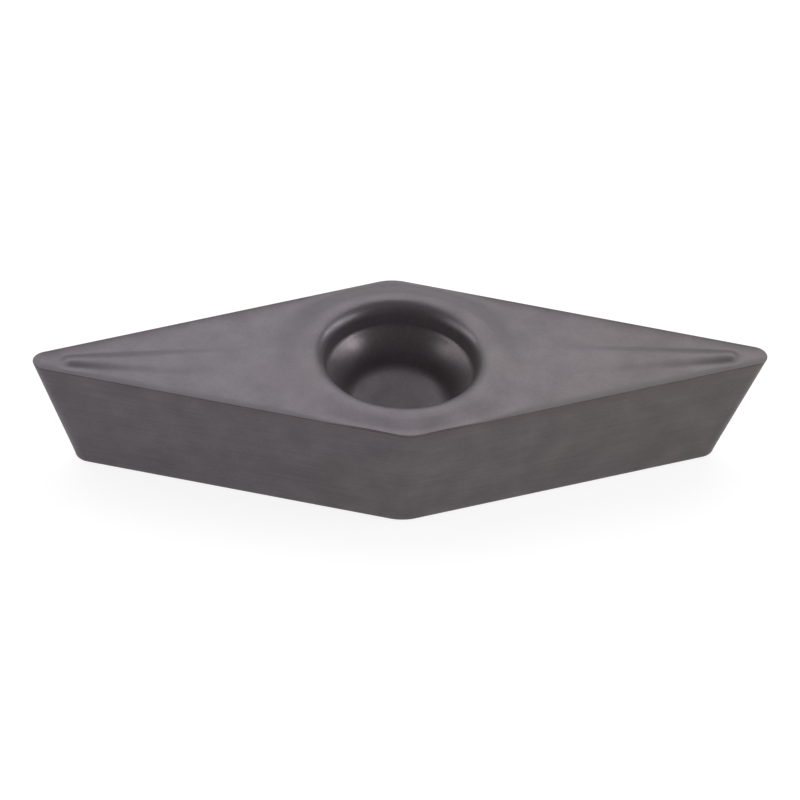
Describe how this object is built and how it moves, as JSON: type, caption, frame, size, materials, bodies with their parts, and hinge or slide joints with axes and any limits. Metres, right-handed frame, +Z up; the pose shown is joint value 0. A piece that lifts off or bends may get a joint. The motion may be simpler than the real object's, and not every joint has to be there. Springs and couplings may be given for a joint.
{
  "type": "carbide turning insert",
  "caption": "Rhombic 35 degree turning insert, sintered and coated, with a screw hole, chip grooves and leaning flanks.",
  "frame": {"origin": "centre of the seat face, on the screw hole's axis", "axes": "+X along the long diagonal to one nose, +Z up out of the seat face to the cutting edges"},
  "size_m": [0.0192, 0.0066, 0.0033],
  "materials": {
    "coated_carbide": "satin dark grey hard coating with a slight violet cast, on cemented carbide"
  },
  "bodies": {
    "root": {"insert": "coated_carbide"}
  },
  "joints": []
}
